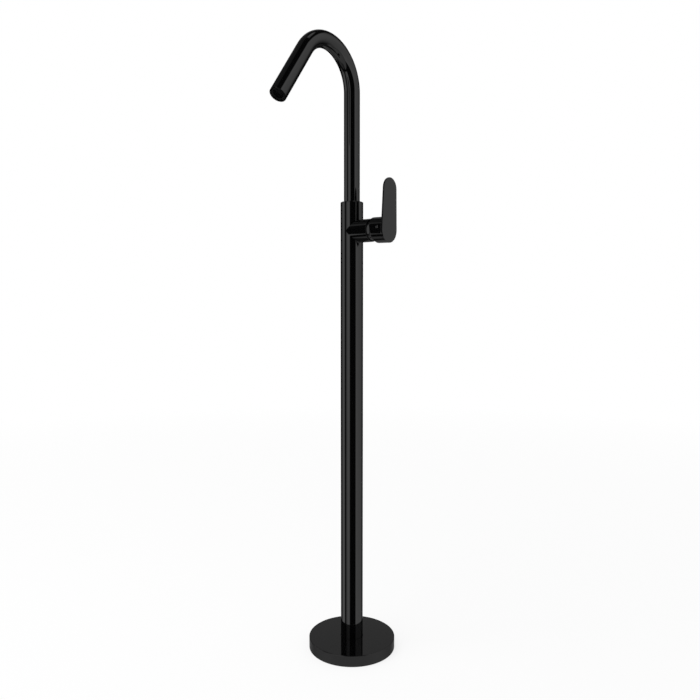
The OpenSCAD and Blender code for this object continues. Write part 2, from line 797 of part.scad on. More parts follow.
module spout_root() {
    slot_h = set_screw_d + 2 * free_gap;
    slot_half = spout_turn + asin((set_screw_d / 2 + free_gap) / (root_r - stop_depth)) + 1;
    color(brass) difference() {
        union() {
            translate([0, 0, bush_floor_z + free_gap])
                cylinder(r = root_r, h = root_flange_z - bush_floor_z);
            translate([0, 0, root_flange_z]) cylinder(r = spout_r, h = root_flange_t);
            translate([0, 0, tube_start])
                cylinder(r = spout_bore_r - seat_gap, h = root_sleeve_h);
        }
        translate([0, 0, bush_floor_z]) cylinder(r = root_bore_r, h = 2 * column_r);
        for (z = spout_seal_z) translate([0, 0, z])
            seal_groove(root_r - seal_t, root_r, seal_t + groove_play);
        translate([0, 0, stop_z]) rotate([0, 0, 90 - slot_half]) rotate_extrude(angle = 2 * slot_half)
            translate([root_r - stop_depth, -slot_h / 2]) square([stop_depth + cut, slot_h]);
    }
}

module spout_seals() {
    color(rubber) for (z = spout_seal_z) translate([0, 0, z])
        ring_seal(root_r - seal_r + seat_gap, seal_t - seat_gap);
}

module spout_tube() {
    color(gloss_black) difference() {
        spout_path(spout_r, 0);
        spout_path(spout_bore_r, cut);
    }
}

// Outlet

module aerator_sleeve() {
    color(gloss_black) along_tip(0) difference() {
        translate([0, 0, sleeve_start]) cylinder(r = sleeve_r, h = sleeve_end - sleeve_start);
        translate([0, 0, sleeve_start + aerator_lip]) cylinder(r = sleeve_bore_r, h = tip_run);
        translate([0, 0, sleeve_start - cut]) cylinder(r = ring_bore_r - 0.6, h = tip_run);
    }
}

module aerator_gasket() {
    color(rubber) along_tip(sleeve_start + aerator_lip) tube(ring_r, ring_bore_r - 0.6, gasket_t);
}

// Screwed ring with four key notches in its outer face.
module aerator_ring() {
    ring_l = sleeve_end - 0.5 - ring_start;
    color(black_plastic) along_tip(ring_start) difference() {
        tube(ring_r, ring_bore_r, ring_l);
        for (a = [0 : 90 : 270]) rotate([0, 0, a]) translate([ring_bore_r - cut, -1.2, ring_l - 1.4])
            cube([ring_wall + 2 * cut, 2.4, 2]);
    }
}

// Flow straightener: a disc with a ring pattern of round ways.
module aerator_core() {
    core_r = ring_bore_r - seat_gap;
    hole_r = core_r / 8;
    color(black_plastic) along_tip(ring_start) difference() {
        cylinder(r = core_r, h = 4.5);
        for (ring = [0 : 3]) for (i = [0 : max(6 * ring - 1, 0)])
            rotate([0, 0, i * 60 / max(ring, 1)]) translate([ring * core_r * 0.27, 0, -cut])
                cylinder(r = hole_r, h = 4.5 + 2 * cut, $fn = 24);
    }
}

// Woven screen, drawn as a thin disc with square gaps.
module aerator_mesh() {
    mesh_r = ring_bore_r - seat_gap;
    pitch = mesh_r / 4.2;
    gap_w = pitch * 0.62;
    color(black_plastic) along_tip(ring_start + 4.8) difference() {
        cylinder(r = mesh_r, h = 0.5);
        for (i = [-3 : 3]) for (j = [-3 : 3]) if (norm([i, j]) < 3.4)
            translate([i * pitch - gap_w / 2, j * pitch - gap_w / 2, -cut])
                cube([gap_w, gap_w, 0.5 + 2 * cut]);
    }
}

floor_flange();
column_screws();
column_tube();
side_barrel();
valve_body();
body_lock_screw();
hot_hose();
cold_hose();
hot_hose_fittings();
cold_hose_fittings();
cartridge_housing();
housing_screws();
body_seals();
cartridge_base();
port_seals();
fixed_disc();
cartridge_shell();
cartridge_nut();
dome_cover();
outlet_nipple();
nipple_seals();
spout_socket();
collar_ring();
spout_stop_screw();
glide_ring();
floor_cover();
cover_seal();
cartridge_rotor();
rotor_seal();
stem_pin();
disc_carrier();
moving_disc();
lever_stem();
lever_handle();
lever_set_screw();
lever_plug();
spout_root();
spout_seals();
spout_tube();
aerator_sleeve();
aerator_gasket();
aerator_ring();
aerator_core();
aerator_mesh();
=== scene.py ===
import json
import math

import bmesh
import bpy
import numpy as np
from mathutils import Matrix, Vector


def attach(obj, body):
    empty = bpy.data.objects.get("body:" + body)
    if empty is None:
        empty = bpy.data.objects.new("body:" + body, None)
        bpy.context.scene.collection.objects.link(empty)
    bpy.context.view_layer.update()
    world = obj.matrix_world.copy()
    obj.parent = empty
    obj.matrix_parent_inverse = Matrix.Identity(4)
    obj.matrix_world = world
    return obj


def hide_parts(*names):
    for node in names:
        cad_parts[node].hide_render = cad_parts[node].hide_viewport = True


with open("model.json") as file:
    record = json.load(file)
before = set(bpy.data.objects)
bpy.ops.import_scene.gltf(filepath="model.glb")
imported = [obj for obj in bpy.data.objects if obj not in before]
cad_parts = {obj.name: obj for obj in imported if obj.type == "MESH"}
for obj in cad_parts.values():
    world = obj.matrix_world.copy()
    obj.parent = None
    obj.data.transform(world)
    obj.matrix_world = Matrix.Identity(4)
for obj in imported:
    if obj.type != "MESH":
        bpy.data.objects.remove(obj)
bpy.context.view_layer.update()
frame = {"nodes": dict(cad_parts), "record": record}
nodes = frame["nodes"]
mm = 0.001                              # sizes of pieces are in millimetres, the studio's in metres
print("frame loaded:", len(nodes), "nodes")


# Camera
camera = {
    "focalPixels": 686.25,              # from fitting a pinhole camera to the outlines
    "framePixels": 700,
    "sensor": 36.0,
    "place": (0.7346, -0.9809, 0.6269),
    "down": 3.825,                      # degrees below level
    "heading": 126.986,                 # degrees from +X towards +Y
    "near": 0.02,
    "far": 60,
}
cameraData = bpy.data.cameras.new("photoCamera")
cameraData.sensor_fit = "HORIZONTAL"
cameraData.sensor_width = camera["sensor"]
cameraData.lens = camera["focalPixels"] * camera["sensor"] / camera["framePixels"]
cameraData.clip_start, cameraData.clip_end = camera["near"], camera["far"]
cameraObject = bpy.data.objects.new("photoCamera", cameraData)
bpy.context.collection.objects.link(cameraObject)
cameraObject.location = camera["place"]
cameraObject.rotation_euler = (math.radians(90 - camera["down"]), 0, math.radians(camera["heading"] - 90))
bpy.context.scene.camera = cameraObject
bpy.context.scene.view_settings.view_transform = "Standard"
print("camera placed")


# Mesh helpers
weld = {"merge": 1e-7, "collapse": 1e-8}                       # metres
crisp = 32                                                     # degrees past which an edge stays sharp


def unit(vectors):
    # each vector divided by its length
    return vectors / np.maximum(np.linalg.norm(vectors, axis=-1, keepdims=True), 1e-12)


def fullTurn(steps):
    # evenly spaced angles once round, without the last one, which is the first again
    return np.linspace(0, 2 * math.pi, steps, endpoint=False)


def quarterTurn(steps):
    # angles of a rounded edge, from 0 to a right angle
    return np.linspace(0, math.pi / 2, steps)


def gridFaces(rows, columns, closeRows=False):
    # each face joins a point, its neighbour in the row and the same two in the next row;
    # columns wrap round, and rows do so only when asked
    row, column = np.meshgrid(np.arange(rows if closeRows else rows - 1), np.arange(columns), indexing="ij")
    nextRow, nextColumn = (row + 1) % rows, (column + 1) % columns
    corners = [row * columns + column, row * columns + nextColumn,
               nextRow * columns + nextColumn, nextRow * columns + column]
    return np.stack(corners, -1).reshape(-1, 4)


def closedMesh(name, points, faces):
    # a closed shell whose faces point outwards has a positive signed volume, the sum over its faces
    # of corner . (corner x corner), two triangles to a face. Merging doubled points closes the poles.
    points = points.reshape(-1, 3)
    a, b, c, d = (points[faces[:, i]] for i in range(4))
    volume = np.einsum("ij,ij->i", a, np.cross(b, c) + np.cross(c, d)).sum()
    if volume < 0:
        faces = faces[:, ::-1]
    mesh = bpy.data.meshes.new(name)
    mesh.from_pydata(points.tolist(), [], faces.tolist())
    work = bmesh.new()
    work.from_mesh(mesh)
    bmesh.ops.remove_doubles(work, verts=work.verts, dist=weld["merge"])
    bmesh.ops.dissolve_degenerate(work, edges=work.edges, dist=weld["collapse"])
    work.to_mesh(mesh)
    work.free()
    return mesh


def makePiece(name, shape, material, body, replaced=(), sharp=crisp):
    # shape is one closed shell, as points and faces
    mesh = closedMesh(name, *shape)
    mesh.materials.append(material)
    mesh.shade_smooth()
    mesh.set_sharp_from_angle(angle=math.radians(sharp))
    piece = bpy.data.objects.new(name, mesh)
    bpy.context.collection.objects.link(piece)
    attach(piece, body)
    if replaced:
        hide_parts(*replaced)
    return piece


def roundCorners(corners, steps=5, closed=True, hold=0.3):
    # each corner (x, y, radius) becomes an arc that touches both of its sides: its middle lies on
    # the corner's bisector, radius / sin(half the angle) away. One more point on each side, hold
    # times the radius beyond the arc, keeps the flat faces flat.
    corners = np.array(corners, float)
    out = []
    for i in range(len(corners)):
        corner, radius = corners[i, :2], corners[i, 2]
        if radius <= 0 or (not closed and i in (0, len(corners) - 1)):
            out.append(corner[None])
            continue
        back, ahead = unit(corners[i - 1, :2] - corner), unit(corners[(i + 1) % len(corners), :2] - corner)
        half = math.acos(np.clip(back @ ahead, -1, 1)) / 2
        centre = corner + unit(back + ahead) * radius / math.sin(half)
        reach = radius / math.tan(half)
        towards, across = unit(corner - centre), unit(ahead - back)
        turn = np.linspace(-1, 1, steps + 1)[:, None] * (math.pi / 2 - half)
        arc = centre + radius * (np.cos(turn) * towards + np.sin(turn) * across)
        reach += hold * radius
        out.append(np.concatenate([(corner + back * reach)[None], arc, (corner + ahead * reach)[None]]))
    return np.concatenate(out)


def fillSide(profile, axis, middle, halfWidth, step):
    # extra points, one step apart, from middle - halfWidth to middle + halfWidth on the long sides
    # that cross this stretch, so that the faces are short where something is cut out of them
    low, high = middle - halfWidth, middle + halfWidth
    out = []
    for p, q in zip(profile, np.roll(profile, -1, axis=0)):
        out.append(p[None])
        if min(p[axis], q[axis]) < low and max(p[axis], q[axis]) > high:
            there = np.arange(low, high + step / 2, step)
            t = np.sort((there - p[axis]) / (q[axis] - p[axis]))[:, None]
            out.append(p + t * (q - p))
    return np.concatenate(out)


def revolveUp(profile, steps):
    # profile (radius, height) turned about the column's axis: x = radius cos, y = radius sin
    turn = fullTurn(steps)
    radius, height = profile[:, 0, None], profile[:, 1, None]
    points = np.stack([radius * np.cos(turn), radius * np.sin(turn), height + 0 * turn], -1) * mm
    return points, gridFaces(len(profile), steps, closeRows=True)


def revolveBarrel(profile, steps):
    # profile (distance from the column's axis, radius) turned about the barrel's axis:
    # y = radius cos, z = the barrel's height + radius sin
    turn = fullTurn(steps)
    x, radius = profile[:, 0, None], profile[:, 1, None]
    height = barrel["height"] + radius * np.sin(turn)
    points = np.stack([x + 0 * turn, radius * np.cos(turn), height], -1) * mm
    return points, gridFaces(len(profile), steps, closeRows=True)


def cylinderAlong(start, direction, length, radius, steps, flare=0.0):
    # plain closed cylinder for cutting: start + length along the direction + radius times
    # (cos side + sin other), wider by flare at its far end
    notParallel = [0.3, 0.2, 0.93]
    direction = unit(np.array(direction, float))
    side = unit(np.cross(direction, notParallel))
    other = np.cross(direction, side)
    turn = fullTurn(steps)[None, :, None]
    along = np.array([0, 0, length, length])[:, None, None]
    ring = np.array([0, radius, radius + flare, 0])[:, None, None]
    points = np.array(start, float) + along * direction + ring * (np.cos(turn) * side + np.sin(turn) * other)
    return points * mm, gridFaces(4, steps)


def carve(piece, cutters):
    # takes the cutters out of the piece's mesh and leaves no modifier behind
    helpers = []
    for shape in cutters:
        helper = bpy.data.objects.new("cutter", closedMesh("cutter", *shape))
        bpy.context.collection.objects.link(helper)
        modifier = piece.modifiers.new("cut", "BOOLEAN")
        modifier.operation, modifier.solver, modifier.object = "DIFFERENCE", "EXACT", helper
        helpers.append(helper)
    bpy.context.view_layer.update()
    evaluated = piece.evaluated_get(bpy.context.evaluated_depsgraph_get())
    result = bpy.data.meshes.new_from_object(evaluated)
    result.name = piece.name
    piece.modifiers.clear()
    piece.data = result
    result.shade_smooth()
    result.set_sharp_from_angle(angle=math.radians(crisp))
    for helper in helpers:
        bpy.data.objects.remove(helper)


# Material helpers
def newMaterial(name):
    material = bpy.data.materials.new(name)
    material.use_nodes = True
    tree = material.node_tree
    tree.nodes.clear()
    output = tree.nodes.new("ShaderNodeOutputMaterial")
    shader = tree.nodes.new("ShaderNodeBsdfPrincipled")
    tree.links.new(shader.outputs["BSDF"], output.inputs["Surface"])
    return material, tree, shader


def addNode(tree, kind, **values):
    # each value is set on the node itself where it has that name, or else on its input
    node = tree.nodes.new("ShaderNode" + kind)
    for key, value in values.items():
        if hasattr(node, key) and key not in node.inputs:
            setattr(node, key, value)
        else:
            node.inputs[key].default_value = value
    return node


def newGroup(name, inputs, outputs):
    tree = bpy.data.node_groups.new(name, "ShaderNodeTree")
    for label, kind, default in inputs:
        socket = tree.interface.new_socket(name=label, in_out="INPUT", socket_type=kind)
        socket.default_value = default
    for label, kind in outputs:
        tree.interface.new_socket(name=label, in_out="OUTPUT", socket_type=kind)
    return tree, tree.nodes.new("NodeGroupInput"), tree.nodes.new("NodeGroupOutput")


def placeGroup(tree, group, **values):
    node = tree.nodes.new("ShaderNodeGroup")
    node.node_tree = group
    for key, value in values.items():
        node.inputs[key].default_value = value
    return node


def remap(tree, source, low, high, outLow, outHigh):
    node = addNode(tree, "MapRange", clamp=True)
    node.inputs["From Min"].default_value, node.inputs["From Max"].default_value = low, high
    node.inputs["To Min"].default_value, node.inputs["To Max"].default_value = outLow, outHigh
    tree.links.new(source, node.inputs["Value"])
    return node.outputs["Result"]


def combine(tree, operation, *values):
    # one sum of a Math node, from numbers and sockets
    node = addNode(tree, "Math", operation=operation)
    for value, socket in zip(values, node.inputs):
        if isinstance(value, (int, float)):
            socket.default_value = value
        else:
            tree.links.new(value, socket)
    return node.outputs[0]


def mixColours(tree, factor, first, second):
    node = addNode(tree, "Mix", data_type="RGBA")
    node.inputs["A"].default_value, node.inputs["B"].default_value = (*first, 1), (*second, 1)
    tree.links.new(factor, node.inputs["Factor"])
    return node.outputs["Result"]


def addBump(tree, height, depth, shader):
    bump = addNode(tree, "Bump", Strength=1.0, Distance=depth)
    tree.links.new(height, bump.inputs["Height"])
    tree.links.new(bump.outputs["Normal"], shader.inputs["Normal"])


# Gloss black: a sprayed and polished coat with orange peel, cleaning swirls, smudges and dust
lacquer = {
    "peelSize": 420.0, "smudgeSize": 28.0, "speckSize": 900.0, "swirlSize": 160.0,
    "smudgeFrom": (0.5, 0.78), "swirlFrom": (0.5, 0.54),       # noise values that fade each in
    "speckEdge": (0.1, 0.16), "speckShare": (0.955, 0.96),     # a dot's rim, and how few cells have one
}


def makeLacquerGroup():
    tree, start, end = newGroup(
        "lacquerDetail",
        [("Peel Size", "NodeSocketFloat", lacquer["peelSize"]),
         ("Smudge Size", "NodeSocketFloat", lacquer["smudgeSize"]),
         ("Speck Size", "NodeSocketFloat", lacquer["speckSize"])],
        [("Peel", "NodeSocketFloat"), ("Smudge", "NodeSocketFloat"),
         ("Speck", "NodeSocketFloat"), ("Swirl", "NodeSocketFloat")])
    place = addNode(tree, "TexCoord").outputs["Object"]
    peel = addNode(tree, "TexNoise", Detail=1.0, Roughness=0.4)
    smudge = addNode(tree, "TexNoise", Detail=5.0, Roughness=0.62, Distortion=0.8)
    speck = addNode(tree, "TexVoronoi", feature="F1")
    swirl = addNode(tree, "TexNoise", Scale=lacquer["swirlSize"], Detail=2.0, Roughness=0.7, Distortion=6.0)
    for node in (peel, smudge, speck, swirl):
        tree.links.new(place, node.inputs["Vector"])
    tree.links.new(start.outputs["Peel Size"], peel.inputs["Scale"])
    tree.links.new(start.outputs["Smudge Size"], smudge.inputs["Scale"])
    tree.links.new(start.outputs["Speck Size"], speck.inputs["Scale"])
    tree.links.new(peel.outputs["Fac"], end.inputs["Peel"])
    tree.links.new(remap(tree, smudge.outputs["Fac"], *lacquer["smudgeFrom"], 0, 1), end.inputs["Smudge"])
    tree.links.new(remap(tree, swirl.outputs["Fac"], *lacquer["swirlFrom"], 0, 1), end.inputs["Swirl"])
    near = remap(tree, speck.outputs["Distance"], *lacquer["speckEdge"], 1, 0)
    chosen = addNode(tree, "SeparateColor")
    tree.links.new(speck.outputs["Color"], chosen.inputs["Color"])
    few = remap(tree, chosen.outputs[0], *lacquer["speckShare"], 0, 1)
    tree.links.new(combine(tree, "MULTIPLY", near, few), end.inputs["Speck"])
    return tree


lacquerGroup = makeLacquerGroup()


def makeGlossBlack(name, smudges, dust):
    finish = {"black": (0.0011, 0.0011, 0.0012), "speck": (0.055, 0.053, 0.05), "index": 1.5, "polish": 0.045,
              "swirl": 0.012, "dustRoughness": 0.4, "peel": 0.0000035}
    material, tree, shader = newMaterial(name)
    shader.inputs["IOR"].default_value = finish["index"]
    detail = placeGroup(tree, lacquerGroup).outputs
    speck = combine(tree, "MULTIPLY", detail["Speck"], dust)
    tree.links.new(mixColours(tree, speck, finish["black"], finish["speck"]), shader.inputs["Base Color"])
    worn = combine(tree, "ADD", combine(tree, "MULTIPLY", detail["Smudge"], smudges),
                   combine(tree, "MULTIPLY", detail["Swirl"], finish["swirl"]))
    dull = combine(tree, "ADD", worn, combine(tree, "MULTIPLY", speck, finish["dustRoughness"]))
    tree.links.new(combine(tree, "ADD", dull, finish["polish"]), shader.inputs["Roughness"])
    addBump(tree, detail["Peel"], finish["peel"], shader)
    return material


# Grain: noise for cast or moulded faces, stretched into fine lines along one way for turned ones
grain = {"size": 300.0, "broadSize": 38.0, "broadRange": (0.35, 0.65), "fineRange": (0.3, 0.7)}


def makeGrainGroup():
    tree, start, end = newGroup(
        "grainDetail",
        [("Size", "NodeSocketFloat", grain["size"]),
         ("Stretch", "NodeSocketVector", (1.0, 1.0, 1.0))],
        [("Fine", "NodeSocketFloat"), ("Broad", "NodeSocketFloat")])
    place = addNode(tree, "TexCoord").outputs["Object"]
    stretched = addNode(tree, "VectorMath", operation="MULTIPLY")
    tree.links.new(place, stretched.inputs[0])
    tree.links.new(start.outputs["Stretch"], stretched.inputs[1])
    fine = addNode(tree, "TexNoise", Detail=4.0, Roughness=0.6)
    broad = addNode(tree, "TexNoise", Scale=grain["broadSize"], Detail=3.0, Roughness=0.55)
    tree.links.new(stretched.outputs[0], fine.inputs["Vector"])
    tree.links.new(place, broad.inputs["Vector"])
    tree.links.new(start.outputs["Size"], fine.inputs["Scale"])
    tree.links.new(fine.outputs["Fac"], end.inputs["Fine"])
    tree.links.new(broad.outputs["Fac"], end.inputs["Broad"])
    return tree


grainGroup = makeGrainGroup()


def makeGrained(name, pale, deep, metallic, roughness, size, stretch=(1, 1, 1), depth=0.00002, gloss=0.5):
    # the broad noise shades the colour, the fine noise the roughness and the bump
    material, tree, shader = newMaterial(name)
    shader.inputs["Metallic"].default_value = metallic
    shader.inputs["Specular IOR Level"].default_value = gloss
    detail = placeGroup(tree, grainGroup, Size=size, Stretch=stretch).outputs
    shade = remap(tree, detail["Broad"], *grain["broadRange"], 0, 1)
    tree.links.new(mixColours(tree, shade, deep, pale), shader.inputs["Base Color"])
    tree.links.new(remap(tree, detail["Fine"], *grain["fineRange"], *roughness), shader.inputs["Roughness"])
    addBump(tree, detail["Fine"], depth, shader)
    return material


def makeBraid(name):
    # two families of crossing wires wound round the hose: the larger of sin(angle + rise) and
    # sin(angle - rise), where angle counts the wires round it and rise grows with the height
    braid = {"wires": 12, "pitch": 9 * mm, "starts": 3, "hoseOffset": 8.5 * mm, "depth": 0.00025,
             "paintedGapShade": (0.12, 0.12, 0.125), "wire": (0.66, 0.66, 0.67), "gapLevel": -0.6,
             "gapRoughness": 0.55, "wireRoughness": 0.26}
    material, tree, shader = newMaterial(name)
    shader.inputs["Metallic"].default_value = 1.0
    split = addNode(tree, "SeparateXYZ")
    tree.links.new(addNode(tree, "TexCoord").outputs["Object"], split.inputs[0])
    offset = combine(tree, "SUBTRACT", combine(tree, "ABSOLUTE", split.outputs["Y"]), braid["hoseOffset"])
    angle = combine(tree, "MULTIPLY", combine(tree, "ARCTAN2", offset, split.outputs["X"]), braid["wires"])
    perMetre = 2 * math.pi / braid["pitch"] * braid["starts"]
    rise = combine(tree, "MULTIPLY", split.outputs["Z"], perMetre)
    left = combine(tree, "SINE", combine(tree, "ADD", angle, rise))
    right = combine(tree, "SINE", combine(tree, "SUBTRACT", angle, rise))
    weave = combine(tree, "MAXIMUM", left, right)
    wire = remap(tree, weave, braid["gapLevel"], 1, 0, 1)
    # the gaps between the wires are coloured a dark steel: painted shade where the wires dip under one
    # another
    tree.links.new(mixColours(tree, wire, braid["paintedGapShade"], braid["wire"]), shader.inputs["Base Color"])
    dull = remap(tree, weave, braid["gapLevel"], 1, braid["gapRoughness"], braid["wireRoughness"])
    tree.links.new(dull, shader.inputs["Roughness"])
    addBump(tree, wire, braid["depth"], shader)
    return material


glossBlack = makeGlossBlack("glossBlack", smudges=0.03, dust=0.5)
glossHandled = makeGlossBlack("glossHandled", smudges=0.075, dust=0.3)      # the lever, touched most
glossTop = makeGlossBlack("glossTop", smudges=0.05, dust=1.0)               # the cover, where dust settles
# pale and deep colour, metallic, range of roughness, size of the grain and its stretch
slotMaterials = {
    "gloss_black": glossBlack,
    "brass": makeGrained("machinedBrass", (0.80, 0.60, 0.30), (0.70, 0.49, 0.22), 1.0,
                         (0.2, 0.36), 900, (1, 1, 6)),
    "steel": makeGrained("drawnSteel", (0.63, 0.63, 0.64), (0.52, 0.52, 0.54), 1.0,
                         (0.18, 0.34), 1200, (1, 1, 5)),
    "braided_hose": makeBraid("braidedHose"),
    "seal_rubber": makeGrained("sealRubber", (0.03, 0.03, 0.031), (0.018, 0.018, 0.019), 0.0,
                               (0.5, 0.72), 1500, depth=0.00004),
    "ceramic": makeGrained("discCeramic", (0.86, 0.85, 0.81), (0.80, 0.79, 0.75), 0.0,
                           (0.06, 0.14), 2600, depth=0.000003),
    "grey_plastic": makeGrained("greyPlastic", (0.27, 0.28, 0.30), (0.23, 0.24, 0.26), 0.0,
                                (0.36, 0.52), 2200),
    "white_plastic": makeGrained("whitePlastic", (0.78, 0.78, 0.75), (0.71, 0.71, 0.68), 0.0,
                                 (0.32, 0.48), 2200),
    "black_plastic": makeGrained("blackPlastic", (0.0045, 0.0045, 0.005), (0.003, 0.003, 0.0033), 0.0,
                                 (0.16, 0.26), 2200, depth=0.000006, gloss=0.25),
}
for entry in frame["record"]["subparts"]:
    # each CAD node gets the finish that its record names
    mesh = nodes[entry["node"]].data
    if not mesh.materials:
        mesh.materials.append(None)
    for i in range(len(mesh.materials)):
        mesh.materials[i] = slotMaterials[entry["material_slot"]]
print("materials made:", len(bpy.data.materials))


# Floor cover: a flat cap with a lip round the column, in whose groove the seal sits
cover = {"radius": 78.0, "height": 20.0, "lift": 0.4, "wall": 2.5, "bore": 20.3, "lip": 5.0, "lipFoot": 14.0,
         "groove": 21.9, "grooveFoot": 16.0, "grooveTop": 18.0, "edge": 0.7, "footEdge": 0.3,
         "footInside": 0.25, "boreEdge": 0.35, "grooveEdge": 0.2, "lipEdge": 0.3, "insideEdge": 0.8,
         "steps": 256}
coverInside, coverUnder = cover["radius"] - cover["wall"], cover["height"] - cover["wall"]
lipOutside = cover["bore"] + cover["lip"]
coverProfile = roundCorners([
    (coverInside, cover["lift"], cover["footInside"]),
    (cover["radius"], cover["lift"], cover["footEdge"]),
    (cover["radius"], cover["height"], cover["edge"]),
    (cover["bore"], cover["height"], cover["boreEdge"]),
    (cover["bore"], cover["grooveTop"], 0),
    (cover["groove"], cover["grooveTop"], cover["grooveEdge"]),
    (cover["groove"], cover["grooveFoot"], cover["grooveEdge"]),
    (cover["bore"], cover["grooveFoot"], 0),
    (cover["bore"], cover["lipFoot"], cover["lipEdge"]),
    (lipOutside, cover["lipFoot"], cover["lipEdge"]),
    (lipOutside, coverUnder, cover["insideEdge"]),
    (coverInside, coverUnder, cover["insideEdge"]),
], steps=6)
makePiece("floorCover", revolveUp(coverProfile, cover["steps"]), glossTop, "cover",
          ["floor_cover"], sharp=40)
print("cover made")


# Column, with the way into the barrel and the holes of two screws
column = {"radius": 20.0, "bore": 18.5, "foot": 6.0, "top": 803.0, "edge": 0.12, "footEdge": 0.2,
          "fillStep": 1.0, "steps": 192}
barrel = {"height": 754.5, "radius": 19.9, "bore": 18.0, "reach": 44.0, "rim": 0.35, "root": 24.0,
          "rootRows": 6, "sink": 0.35, "clear": 22.5, "way": 30, "waySteps": 128, "steps": 192}
screwHoles = {"stopHeight": 792.0, "radius": 2.55, "flare": 0.7, "start": 10, "length": 12, "clear": 4.0,
              "steps": 48}
columnProfile = roundCorners([
    (column["bore"], column["foot"], 0), (column["radius"], column["foot"], column["footEdge"]),
    (column["radius"], column["top"], column["edge"]), (column["bore"], column["top"], 0)])
columnProfile = fillSide(columnProfile, 1, barrel["height"], barrel["clear"], column["fillStep"])
columnProfile = fillSide(columnProfile, 1, screwHoles["stopHeight"], screwHoles["clear"], column["fillStep"])
columnTube = makePiece("columnTube", revolveUp(columnProfile, column["steps"]), glossBlack, "stand",
                       ["column_tube"])


def screwHole(x, y, height):
    # a hole through the wall, along (x, y) from start times (x, y), that widens outwards
    start = (x * screwHoles["start"], y * screwHoles["start"], height)
    return cylinderAlong(start, (x, y, 0), screwHoles["length"], screwHoles["radius"], screwHoles["steps"],
                         screwHoles["flare"])


barrelWay = cylinderAlong((0, 0, barrel["height"]), (1, 0, 0), barrel["way"], barrel["bore"],
                          barrel["waySteps"])
carve(columnTube, [barrelWay, screwHole(-1, 0, barrel["height"]), screwHole(0, 1, screwHoles["stopHeight"])])

collar = {"bore": 14.3, "foot": 803.0, "top": 806.0, "bevel": 1.0, "bevelEdge": 0.18, "boreEdge": 0.35}
collarProfile = roundCorners([
    (collar["bore"], collar["foot"], 0),
    (column["radius"], collar["foot"], column["edge"]),
    (column["radius"], collar["top"] - collar["bevel"], collar["bevelEdge"]),
    (column["radius"] - collar["bevel"], collar["top"], collar["bevelEdge"]),
    (collar["bore"], collar["top"], collar["boreEdge"]),
], steps=4)
makePiece("collarRing", revolveUp(collarProfile, column["steps"]), glossBlack, "stand",
          ["collar_ring"])
print("column and collar made")


# Side barrel
def saddle(radius, turn):
    # where a line along the barrel, radius from its axis, meets the column's skin:
    # sqrt(column radius^2 - sideways distance^2), sunk a little into it
    return np.sqrt(np.maximum(column["radius"] ** 2 - (radius * np.cos(turn)) ** 2, 0)) - barrel["sink"]


barrelTurn = fullTurn(barrel["steps"])
rootShare = np.linspace(0, 1, barrel["rootRows"])[:, None]     # rows from the saddle to the plain tube
rimProfile = roundCorners([
    (barrel["root"], barrel["radius"], 0), (barrel["reach"], barrel["radius"], barrel["rim"]),
    (barrel["reach"], barrel["bore"], barrel["rim"]), (barrel["root"], barrel["bore"], 0),
], closed=False)[1:-1]
outerRows = saddle(barrel["radius"], barrelTurn) * (1 - rootShare) + barrel["root"] * rootShare
innerRows = saddle(barrel["bore"], barrelTurn) * (1 - rootShare) + barrel["root"] * rootShare
barrelX = np.concatenate([outerRows, rimProfile[:, :1] + 0 * barrelTurn, innerRows[::-1]])
barrelR = np.concatenate([
    barrel["radius"] + 0 * rootShare, rimProfile[:, 1:], barrel["bore"] + 0 * rootShare])
barrelZ = barrel["height"] + barrelR * np.sin(barrelTurn)
barrelPoints = np.stack([barrelX, barrelR * np.cos(barrelTurn), barrelZ], -1) * mm
barrelFaces = gridFaces(len(barrelX), barrel["steps"], closeRows=True)
makePiece("sideBarrel", (barrelPoints, barrelFaces), glossBlack, "stand", ["side_barrel"])


# Trim in the barrel's mouth: a short ring, a shoulder from a ball and a flat top round the stem.
# The shoulder's arc ends short of the top, and its last cornerRows points give way to the corner.
dome = {"ball": 17.95, "centre": 41.5, "top": 50.5, "corner": 1.5, "cornerRows": 6, "short": 0.02,
        "wall": 1.4, "hole": 9.61, "seat": 40.9, "ringBore": 16.35, "outerRows": 24, "innerRows": 20,
        "steps": 160}


def ballArc(radius, start, end, steps):
    # points (distance from the column's axis, radius) on a ball whose middle is on the barrel's
    # axis: middle + radius sin, radius cos
    sweep = np.linspace(start, end, steps)
    return np.stack([dome["centre"] + radius * np.sin(sweep), radius * np.cos(sweep)], -1)


domeInside, domeUnder = dome["ball"] - dome["wall"], dome["top"] - dome["wall"]
shoulderEnd = math.asin((dome["top"] - dome["centre"] - dome["short"]) / dome["ball"])
outerArc = ballArc(dome["ball"], 0, shoulderEnd, dome["outerRows"])
innerArc = ballArc(domeInside, math.asin((domeUnder - dome["centre"]) / domeInside),
                   math.acos(dome["ringBore"] / domeInside), dome["innerRows"])
shoulder, cornerStart = outerArc[:-dome["cornerRows"]], outerArc[-dome["cornerRows"]]
topCorner = roundCorners([(*cornerStart, 0), (*outerArc[-1], dome["corner"]), (dome["top"], dome["hole"], 0)],
                         closed=False)
domeProfile = np.concatenate([
    [[dome["seat"], dome["ringBore"]], [dome["seat"], dome["ball"]]], shoulder, topCorner,
    [[domeUnder, dome["hole"]]], innerArc])
makePiece("domeCover", revolveBarrel(domeProfile, dome["steps"]), glossBlack, "stand",
          ["dome_cover"])
print("barrel and trim made")


# Spout tube
spout = {"start": 799.5, "bendStart": 993.5, "bendRadius": 69.5, "bend": math.radians(144), "tip": 108.0,
         "radius": 14.0, "tipRadius": 13.95, "wall": 1.2, "lip": 0.2, "lipZone": 10, "lowRows": (0, 1, 60),
         "bendRows": 91, "bendGuard": 1, "steps": 160}
riseLength = spout["bendStart"] - spout["start"]
bendLength = spout["bendRadius"] * spout["bend"]
tipStart = riseLength + bendLength
tipEnd = tipStart + spout["tip"]


